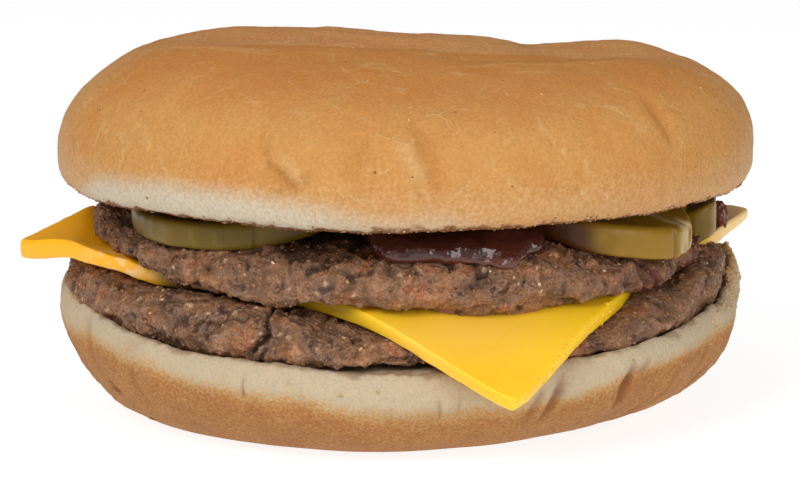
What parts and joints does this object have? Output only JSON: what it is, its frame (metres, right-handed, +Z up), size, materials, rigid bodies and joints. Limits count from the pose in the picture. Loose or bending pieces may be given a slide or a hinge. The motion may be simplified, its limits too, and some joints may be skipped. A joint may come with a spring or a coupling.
{
  "type": "cheeseburger",
  "caption": "Cheeseburger in a soft toasted bun, with beef patties, a bent slice of yellow cheese, pickle slices and ketchup.",
  "frame": {"origin": "centre of the bottom bun's flat base", "axes": "+Z up through the stack, front towards -Y where the cheese hangs down, +X to the right in the front view"},
  "size_m": [0.104, 0.1064, 0.0519],
  "materials": {
    "crust": "matte golden bread crust",
    "beef": "coarse grilled mince",
    "cheese": "soft satin cheese",
    "pickle": "wet pickle",
    "ketchup": "glossy sauce"
  },
  "bodies": {
    "root": {"heel": "crust", "patty_lower": "beef", "cheese": "cheese", "patty_upper": "beef", "pickle_left": "pickle", "pickle_right": "pickle", "pickle_rear": "pickle", "ketchup": "ketchup", "ketchup_drop": "ketchup", "crown": "crust"}
  },
  "joints": []
}
